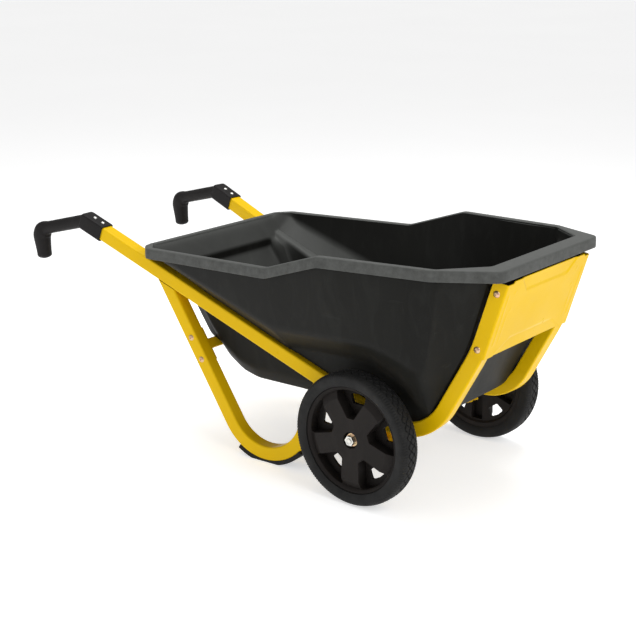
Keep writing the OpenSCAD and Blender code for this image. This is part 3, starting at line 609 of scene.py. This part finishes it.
O_HALF = [(-772, 285), (-732, 320), (-279, 333), (-98, 343.4), (220, 309), (374, 234)]
O_RAD = [24, 22, 40, 40, 30, 26]
I_RAD = [14, 14, 40, 40, 20, 14]
SAMPLES = [3, 40, 24, 34, 16, 30, 16, 34, 24, 40, 3, 30]
o_loop = loop_points(both_sides(O_HALF), O_RAD + O_RAD[::-1], SAMPLES)
i_loop = loop_points(both_sides(WALL_HALF), I_RAD + I_RAD[::-1], SAMPLES)

# Rim's own section from the wall's inner face, over the top, down the skirt
# and back underneath: (share of the way from wall to edge, outward mm, up mm).
RIM_SECTION = [
    (0, -5.0, -16), (0, -5.2, -7), (0, -4.4, -3.2), (0, -2.4, -1.2), (0, 0.5, -0.5), (0, 3.0, -0.3),
    (0.5, 0, 0), (1, -7.5, -0.2), (1, -4.5, -0.8), (1, -2.2, -2.0), (1, -1.0, -4.0), (1, -0.6, -7),
    (1, -0.3, -16), (1, 0, -27), (1, -0.2, -29.2), (1, -1.0, -30), (1, -2.4, -30), (1, -3.4, -29),
    (1, -3.8, -26), (1, -4.4, -12), (1, -6.5, -7.5), (1, -9.5, -6), (0, 3.0, -6), (0, 0.6, -8), (0, 0.2, -16),
]


def moulded(name, dark, pale, rough, streak=0.35, grain=0.06, painted_light_colour=None):
    """Black moulded plastic: mottled flow marks, pale rubbed streaks, a fine leather-like grain, and, when a
    light colour is given, painted light on faces that look up and on the rim.
    """
    k = Look(name, dark, rough, specular=0.1)
    flow = k.noise(5.5, 6, 0.62, (1, 1, 0.45), (0.2, 0.1, 0), 0.8)
    rub = k.noise(19, 7, 0.7, (1, 1, 0.28), (0.1, -0.2, 0.3), 1.2)
    tone = k.blend(k.spread(flow, 0.35, 0.68), dark, tuple(c * 1.5 for c in dark))
    worn = k.times(k.spread(rub, 0.5, 0.78), streak)
    tone = k.blend(worn, tone, pale)
    scratch = k.noise(34, 3, 0.5, (0.12, 1, 1), (0.4, 0.3, 0.9))
    tone = k.blend(k.times(k.spread(scratch, 0.70, 0.72), 0.22), tone, pale)
    if painted_light_colour:
        # Painted light: the colour is made paler where the surface faces up, mottled by the flow noise.
        dust = k.times(k.spread(k.facing_up(), 0.1, 0.9, 0.0, 0.75), k.spread(flow, 0.2, 0.6, 0.7, 1.0))
        tone = k.blend(dust, tone, painted_light_colour)
        # Painted highlight: the whole rim, skirt included, is made paler, mottled by noise.
        skirt = k.times(k.mark("rim"), k.spread(k.noise(48, 6, 0.7), 0.3, 0.7, 0.55, 1.0))
        tone = k.blend(skirt, tone, painted_light_colour)
    k.colour(tone)
    k.roughness(k.spread(flow, 0.25, 0.75, rough - 0.07, rough + 0.1))
    k.bump(k.noise(900, 2, 0.6), grain, 0.7)
    k.bump(k.noise(9, 3), 0.5, 0.12)
    return k.material


# The last colour is painted light, laid on faces that look up and on the rim.
TUB = moulded(
    "tub_polyethylene", (0.008, 0.008, 0.007), (0.028, 0.029, 0.026), 0.46,
    painted_light_colour=(0.100, 0.103, 0.098),
)
bm = bmesh.new()
a = skin(bm, outer_pts, around=False)
b = skin(bm, inner_pts, around=False)
for ra, rb in ((a[0], b[0]), (a[-1], b[-1])):
    for i in range(len(ra) - 1):
        bm.faces.new((ra[i], ra[i + 1], rb[i + 1], rb[i]))
for col in (0, -1):
    for i in range(len(a) - 1):
        bm.faces.new((a[i][col], a[i + 1][col], b[i + 1][col], b[i][col]))
rim_rows = []
count = len(o_loop)
for k in range(count):
    o, i_, o_next, o_prev = o_loop[k], i_loop[k], o_loop[(k + 1) % count], o_loop[k - 1]
    along = (o_next - o_prev).normalized()
    out = Vector((along.y, -along.x))
    along_i = (i_loop[(k + 1) % count] - i_loop[k - 1]).normalized()
    out_i = Vector((along_i.y, -along_i.x))
    z = eased(o.x, RIM, 12)
    row = []
    for share, sideways, lift in RIM_SECTION:
        base = i_.lerp(o, share)
        if share in (0, 1):
            base = base + (out if share else out_i) * sideways
        row.append(at(base.x, base.y, z + lift))
    rim_rows.append(row)
# Marks the rim's points, where the tub's finish paints a highlight.
rim_mark = bm.verts.layers.float.new("rim")
for ring in skin(bm, rim_rows, around=True, along=True):
    for v in ring:
        v[rim_mark] = 1.0
piece("tub_moulding", bm, TUB, "cart", ("tub",), crease=60, weighted=False)


# ---------------------------------------------------------------- wheels

# Wheels: injection-moulded plastic with five broad flat spokes that fall away
# to the rim; hollow behind, with a deep hub that holds the bushes.
WHEEL_IN, WHEEL_OUT = 267.0, 330.0
FACE = WHEEL_OUT - 7
WEB = WHEEL_IN + 22
SPOKES = 5
STEP = 360 / SPOKES
WHEEL_PROFILE = [
    (12.0, WHEEL_IN + 3), (30, WHEEL_IN + 3), (32, WHEEL_IN + 14), (126, WHEEL_IN + 14), (131, WHEEL_IN + 7),
    (143.5, WHEEL_IN + 6.5), (143.5, WHEEL_IN + 10), (141, WHEEL_IN + 12), (141, WHEEL_OUT - 13),
    (143.5, WHEEL_OUT - 11), (143.5, WHEEL_OUT - 8.5), (140, WHEEL_OUT - 7), (134, WHEEL_OUT - 12),
    (131, WHEEL_OUT - 17), (113, FACE - 0.4), (110, FACE), (22, FACE), (21, FACE - 12), (12, FACE - 12),
]


def lathe(bm, profile, s, segments):
    """Turns (radius, distance from the cart's middle) pairs about the axle."""
    verts = [bm.verts.new(at(r, s * y, AXLE_Z)) for r, y in profile]
    edges = [bm.edges.new((verts[i - 1], verts[i])) for i in range(len(verts))]
    bmesh.ops.spin(
        bm, geom=verts + edges, cent=at(0, 0, AXLE_Z), axis=(0, 1, 0),
        angle=math.tau, steps=segments, use_merge=True,
    )


def prism(bm, outline, s, y0, y1):
    """A straight plug through the wheel from a flat outline about the axle."""
    face = bm.faces.new([bm.verts.new(at(x, s * y0, AXLE_Z + z)) for x, z in outline])
    made = bmesh.ops.extrude_face_region(bm, geom=[face], use_keep_orig=True)["geom"]
    verts = [g for g in made if isinstance(g, bmesh.types.BMVert)]
    bmesh.ops.translate(bm, verts=verts, vec=(0, s * (y1 - y0) * MM, 0))


def carved(bm, cutter, name):
    """The first solid less the second."""
    obs = []
    for n, m in ((name, bm), (name + "_cut", cutter)):
        bmesh.ops.recalc_face_normals(m, faces=m.faces)
        mesh = bpy.data.meshes.new(n)
        m.to_mesh(mesh)
        m.free()
        ob = bpy.data.objects.new(n, mesh)
        bpy.context.scene.collection.objects.link(ob)
        obs.append(ob)
    m = obs[0].modifiers.new("cut", "BOOLEAN")
    m.operation = "DIFFERENCE"
    m.solver = "EXACT"
    m.object = obs[1]
    settle(obs[0])
    bpy.data.objects.remove(obs[1])
    out = bmesh.new()
    out.from_mesh(obs[0].data)
    bpy.data.objects.remove(obs[0])
    return out


def corner_rounded(pts, r, n=4):
    """A flat outline with every corner rounded to about r."""
    out = []
    m = len(pts)
    for i in range(m):
        a, b, c = (Vector(pts[(i + k) % m]) for k in (-1, 0, 1))
        u, v = (a - b).normalized(), (c - b).normalized()
        half = math.acos(max(-1, min(1, u.dot(v)))) / 2
        d = min(r / math.tan(half), (a - b).length * 0.45, (c - b).length * 0.45)
        for k in range(n + 1):
            t = k / n
            p, q = b + u * d, b + v * d
            out.append(tuple(p * (1 - t) ** 2 + b * 2 * t * (1 - t) + q * t * t))
    return out


def hole(k):
    """Outline of the smaller opening in the back web behind the k-th window."""
    mid = -90 + STEP / 2 + STEP * k
    return corner_rounded([
        (r * unit(mid + a)[0], r * unit(mid + a)[1])
        for r, a in ((90, -11), (116, -12), (117, 0), (116, 12), (90, 11))
    ], 5)


def window(k, inner=60.0, outer=133.0, width=52.0):
    """Outline of the k-th window between two spokes, about the axle."""
    mid = -90 + STEP / 2 + STEP * k
    foot = STEP / 2 - math.degrees(math.asin(width / 2 / inner))
    rim = STEP / 2 - math.degrees(math.asin((width / 2 + 3) / outer))
    pts = [(inner, -foot)] + [(outer, rim * (j / 4 - 1)) for j in range(9)] + [(inner, foot)]
    return corner_rounded([(r * unit(mid + a)[0], r * unit(mid + a)[1]) for r, a in pts], 6)


WHEEL = moulded("wheel_polypropylene", (0.013, 0.011, 0.010), (0.036, 0.032, 0.030), 0.5, 0.25, 0.05)

for s, side in ((1, "left"), (-1, "right")):
    bm = bmesh.new()
    lathe(bm, WHEEL_PROFILE, s, 120)
    cutter = bmesh.new()
    for k in range(SPOKES):
        prism(cutter, window(k), s, WEB, WHEEL_OUT + 5)
    bm = carved(bm, cutter, "wheel")
    cutter = bmesh.new()
    for k in range(SPOKES):
        prism(cutter, hole(k), s, WHEEL_IN - 5, WHEEL_OUT + 5)
    bm = carved(bm, cutter, "wheel")
    cutter = bmesh.new()
    for k in range(SPOKES):
        c, n = unit(-90 + STEP * k)
        pocket = [(r * c - w * n, r * n + w * c) for r, w in ((46, -17), (122, -19), (122, 19), (46, 17))]
        prism(cutter, corner_rounded(pocket, 6), s, WHEEL_IN - 5, FACE - 22)
    bm = carved(bm, cutter, "wheel")
    bmesh.ops.dissolve_limit(bm, angle_limit=math.radians(0.5), verts=bm.verts, edges=bm.edges)
    piece(
        "wheel_%s_casting" % side, bm, WHEEL, "wheel_%s" % side, ("wheel_%s" % side,),
        bevel=(1.3, 2, 28), crease=32,
    )


# ---------------------------------------------------------------- tyres

# Tyres: solid black rubber, smooth-walled, with zigzag grooves round the tread
# and a fine saw-tooth on each shoulder; pushed onto the rim.
TYRE_R = 178
TYRE_MID = (WHEEL_IN + WHEEL_OUT) / 2
CROWN_HALF = 23.2
ZIGZAGS = 48
TYRE_ROWS = 18 * ZIGZAGS
GROOVE = 2.8
TYRE_PROFILE = [
    (141, -18.5), (143.6, -21), (143.6, -26.5), (147, -28.4), (153, -30.2), (160, -31.2), (165, -31.3),
    (169, -30.6), (172.0, -28.8), (174.2, -25.6),
]


def tread(y, turn):
    """Depth of the tread at a place across the tyre and round it."""
    depth = 0.0
    wave = turn % 1.0
    zig = max(-1.0, min(1.0, (abs(wave - 0.5) * 4 - 1) * 1.8))
    for centre, swing, width in ((-11, 3.2, 1.5), (0, -3.2, 1.5), (11, 3.2, 1.5)):
        d = abs(y - centre - swing * zig)
        depth = max(depth, smooth((width - d) / 0.7 + 0.5))
    for centre, place in ((-5.5, 0.0), (5.5, 0.5)):
        cross = abs((wave - place + 0.5) % 1.0 - 0.5)
        if abs(y - centre) < 3.2:
            depth = max(depth, smooth((0.07 - cross) / 0.03))
    return depth


def rubber():
    """Dusty black rubber with a fine grain."""
    k = Look("tyre_rubber", (0.014, 0.014, 0.014), 0.45, specular=0.22)
    dust = k.spread(k.noise(22, 7, 0.7), 0.42, 0.75, 0.0, 0.45)
    k.colour(k.blend(dust, (0.008, 0.008, 0.008), (0.024, 0.023, 0.021)))
    k.roughness(k.spread(k.noise(30, 4), 0.3, 0.7, 0.52, 0.74))
    k.bump(k.noise(700, 3, 0.6), 0.07, 0.6)
    return k.material


RUBBER = rubber()

for s, side in ((1, "left"), (-1, "right")):
    bm = bmesh.new()
    across = [CROWN_HALF * (i / 29 - 1) for i in range(59)]
    rows = []
    for k in range(TYRE_ROWS):
        notch = 1 if k % 6 < 2 else 0
        wall = []
        for r, y in TYRE_PROFILE:
            cut = 1.1 * smooth((r - 167) / 3) * notch
            wall.append((r - cut * 0.7, y + cut * 0.5))
        row = wall[:]
        for y in across:
            crown = TYRE_R - 3.0 * (abs(y) / CROWN_HALF) ** 3.2
            edge = 1.3 * notch * smooth((abs(y) - 20.2) / 1.5)
            row.append((crown - GROOVE * tread(y, k / TYRE_ROWS * ZIGZAGS) - edge, y))
        row += [(r, -y) for r, y in wall[::-1]]
        c, n = unit(360 * k / TYRE_ROWS)
        rows.append([at(r * c, s * (TYRE_MID + y), AXLE_Z + r * n) for r, y in row])
    skin(bm, rows, around=True, along=True)
    piece(
        "tyre_%s_rubber" % side, bm, RUBBER, "wheel_%s" % side, ("tyre_%s" % side,),
        crease=50, weighted=False,
    )


# ---------------------------------------------------------------- grips

# Grips: a black plastic moulding pushed over the rail's end and screwed from
# above; a round bar runs back from its socket and turns down into a hand hold.
SOCKET_RINGS = [
    (-62.5, 40.4, 4.6), (-64.0, 45, 5.4), (-63.4, 47.2, 6), (-61.6, 48.2, 6.2), (-40, 48, 6), (-10, 48, 6),
    (14, 48, 6), (20, 47.4, 7), (23, 45.4, 8), (24.5, 42, 9),
]
GRIP_LINE = [(-1008, 603), (-1217, 548), (-1208, 469)]
GRIP_TURN = 32
HOLD_CAP = 11


def arc_path(points, bends, step=3.0):
    """Points, and the direction at each, along straight runs joined by true bends."""
    out = []
    run = [math.degrees(math.atan2(b[1] - a[1], b[0] - a[0])) for a, b in zip(points, points[1:])]
    out.append((points[0][0], points[0][1], run[0]))
    for i in range(1, len(points) - 1):
        turn = run[i] - run[i - 1]
        r = bends[i]
        cut = r * math.tan(math.radians(abs(turn) / 2))
        side = 1 if turn > 0 else -1
        c, s = unit(run[i - 1])
        start = (points[i][0] - c * cut, points[i][1] - s * cut)
        centre = (start[0] - s * r * side, start[1] + c * r * side)
        n = max(2, int(abs(turn) / step))
        for k in range(n + 1):
            a = run[i - 1] + turn * k / n
            c, s = unit(a)
            out.append((centre[0] + s * r * side, centre[1] - c * r * side, a))
    out.append((points[-1][0], points[-1][1], run[-1]))
    return out


def dense(path, reach=30):
    """Splits long straight runs so that shading and texture stay even."""
    out = [path[0]]
    for a, b in zip(path, path[1:]):
        n = max(1, int(math.hypot(b[0] - a[0], b[1] - a[1]) / reach))
        for k in range(1, n + 1):
            t = k / n
            out.append((a[0] + (b[0] - a[0]) * t, a[1] + (b[1] - a[1]) * t, b[2] if k == n else a[2]))
    return out


def grip_section(across, deep, power, n=32):
    """A ring between round (power 2) and square (power 5)."""
    out = []
    for k in range(n):
        c, s = unit(360 * k / n + 360 / n / 2)
        scale = (abs(c) ** power + abs(s) ** power) ** (-1 / power)
        out.append((across * c * scale, deep * s * scale))
    return out


def socket_ring(s, back, width, corner):
    """A square ring round the rail's line, a distance back from the rail's end."""
    c, n = unit(-RAIL_SLOPE)
    u, z = RAIL[0][0] - c * back, RAIL[0][1] - n * back
    return [fr(s, u - n * a, TUBE / 2 - b, z + c * a) for a, b in rounded_square(width, corner)]


GRIP = moulded("grip_plastic", (0.012, 0.011, 0.011), (0.040, 0.038, 0.038), 0.48, 0.2, 0.10)

for s, side in ((1, "left"), (-1, "right")):
    bm = bmesh.new()
    made = skin(bm, [socket_ring(s, *ring) for ring in [(0, 40.4, 4.6)] + SOCKET_RINGS])
    bm.faces.new(made[-1])
    bm.faces.new(made[0][::-1])
    path = dense(arc_path(GRIP_LINE, [0, GRIP_TURN, 0], 6), 8)
    rows = []
    for i, (u, z, a) in enumerate(path):
        t = i / (len(path) - 1)
        hold = smooth((t - 0.5) / 0.2)
        tip = smooth((t - 0.80) / 0.2)
        section = grip_section(19 + 8.5 * hold - 5.0 * tip, 18.5 + 5.0 * hold - 3.5 * tip, 2.3)
        c, n = unit(a)
        rows.append([fr(s, u - n * p, TUBE / 2 - q, z + c * p) for p, q in section])
    for k in range(1, 7):
        close, out = unit(15 * k)
        close, out = max(close, 0.04), HOLD_CAP * out
        rows.append([
            fr(s, u + c * out - n * p * close, TUBE / 2 - q * close, z + n * out + c * p * close)
            for p, q in section
        ])
    made = skin(bm, rows)
    bm.faces.new(made[-1])
    bm.faces.new(made[0][::-1])
    piece("grip_%s_moulding" % side, bm, GRIP, "cart", ("grip_%s" % side,), crease=40)


# ---------------------------------------------------------------- feet

# Rubber feet: moulded soles bent round the leg loops and riveted through them,
# flat where they stand on the ground.


def eased_copy(node, name, look, body, width, segments=2, angle=30):
    """A CAD piece's own shape with its edges eased, standing for it."""
    bm = bmesh.new()
    bm.from_mesh(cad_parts[node].data)
    bmesh.ops.remove_doubles(bm, verts=bm.verts, dist=0.00001)
    bmesh.ops.dissolve_limit(bm, angle_limit=math.radians(1), verts=bm.verts, edges=bm.edges)
    return piece(name, bm, look, body, (node,), bevel=(width, segments, angle), outward=False, merge=0)


for side in ("left", "right"):
    eased_copy("foot_pad_" + side, "foot_%s_rubber" % side, RUBBER, "cart", 0.8)


# ---------------------------------------------------------------- brace, brackets and bushes

# Brace and brackets: welded steel, powder coated with the frame. The bushes
# are nylon sleeves pressed into the hubs, which turn on the axle.
NYLON = moulded("nylon", (0.55, 0.53, 0.47), (0.62, 0.60, 0.55), 0.4, 0.2, 0.02)

eased_copy("leg_brace", "leg_brace_steel", PAINT, "cart", 0.8)
for side in ("left", "right"):
    eased_copy("axle_bracket_" + side, "bracket_%s_steel" % side, PAINT, "cart", 0.6)
    eased_copy("bushes_" + side, "bushes_%s_nylon" % side, NYLON, "wheel_" + side, 0.4)


# ---------------------------------------------------------------- axle and fasteners

# Axle and fasteners: turned bar and formed bolts, nuts and washers in plated
# steel, their edges eased by forming; some bright zinc and some yellow zinc.
BRIGHT = (
    "axle", "axle_spacers", "axle_nuts", "grip_screws", "foot_pad_rivets", "leg_nuts",
    "plate_nuts", "tub_bolts", "tub_washers", "tub_nuts",
)
YELLOW = ("axle_washers", "plate_bolts", "bracket_bolts", "bracket_washers", "bracket_nuts")


def plated(name, colour, tint, rough):
    """Zinc plating, patchy in tint and dulled here and there."""
    k = Look(name, colour, rough, metal=1.0)
    k.colour(k.blend(k.spread(k.noise(90, 4), 0.3, 0.7), colour, tint))
    k.roughness(k.spread(k.noise(240, 4), 0.3, 0.7, rough - 0.08, rough + 0.14))
    k.bump(k.noise(1500, 2), 0.02, 0.4)
    return k.material


ZINC = plated("bright_zinc", (0.62, 0.62, 0.60), (0.72, 0.70, 0.64), 0.34)
GOLD = plated("yellow_zinc", (0.62, 0.50, 0.27), (0.70, 0.42, 0.30), 0.32)

for node in BRIGHT:
    eased_copy(node, node + "_plated", ZINC, "cart", 0.35)
for node in YELLOW:
    eased_copy(node, node + "_plated", GOLD, "cart", 0.35)
eased_copy("leg_bolts", "leg_bolts_plated", GOLD, "cart", 0.35)


# ---------------------------------------------------------------- riser caps

# Riser caps: plastic plugs that close the risers' tube ends under the rim,
# pressed in and held by friction.
eased_copy("riser_caps", "riser_caps_plastic", WHEEL, "cart", 0.5)


# ---------------------------------------------------------------- stage

# Stage: a pale matt floor that glows a little, an even white sky, three large
# soft lights and the camera.
bm = bmesh.new()
bmesh.ops.create_grid(bm, x_segments=1, y_segments=1, size=30)
mesh = bpy.data.meshes.new("floor")
bm.to_mesh(mesh)
bm.free()
floor = bpy.data.objects.new("floor", mesh)
bpy.context.scene.collection.objects.link(floor)
pale = Look("studio_floor", (0.86, 0.86, 0.86), 0.55, specular=0.2)
pale.colour(pale.blend(pale.spread(pale.noise(0.6, 3), 0.3, 0.7), (0.84, 0.84, 0.84), (0.88, 0.88, 0.88)))
pale.bsdf.inputs["Emission Color"].default_value = (1, 1, 1, 1)
pale.bsdf.inputs["Emission Strength"].default_value = 0.55
floor.data.materials.append(pale.material)

world = bpy.data.worlds.new("studio")
bpy.context.scene.world = world
world.use_nodes = True
world.node_tree.nodes["Background"].inputs[0].default_value = (1.0, 1.0, 1.0, 1)
world.node_tree.nodes["Background"].inputs[1].default_value = 0.4
bpy.context.scene.view_settings.view_transform = "Standard"


def soft_light(name, place, target, size, power):
    """A rectangular area light turned towards a target."""
    data = bpy.data.lights.new(name, "AREA")
    data.shape = "RECTANGLE"
    data.size, data.size_y = size
    data.energy = power
    ob = bpy.data.objects.new(name, data)
    bpy.context.scene.collection.objects.link(ob)
    ob.location = place
    ob.rotation_euler = (Vector(target) - Vector(place)).to_track_quat("-Z", "Y").to_euler()


soft_light("key", (3.2, -0.6, 2.4), (0, 0, 0.4), (2.0, 2.0), 46)
soft_light("top", (-0.3, 0.6, 3.4), (0, 0, 0.3), (3.2, 2.2), 88)
soft_light("fill", (-1.8, -3.4, 1.6), (0, 0, 0.3), (2.4, 1.6), 22)

camera = bpy.data.cameras.new("camera")
camera.sensor_width = 36
camera.lens = 72.9
camera.clip_end = 100
cam = bpy.data.objects.new("camera", camera)
bpy.context.scene.collection.objects.link(cam)
right = Vector((0.7749, 0.6321, 0))
up = Vector((-0.1847, 0.2264, 0.9564))
back = right.cross(up).normalized()
turn = Matrix((right, up, back)).transposed().to_4x4()
turn.translation = at(1860, -2732, 1434)
cam.matrix_world = turn
bpy.context.scene.camera = cam

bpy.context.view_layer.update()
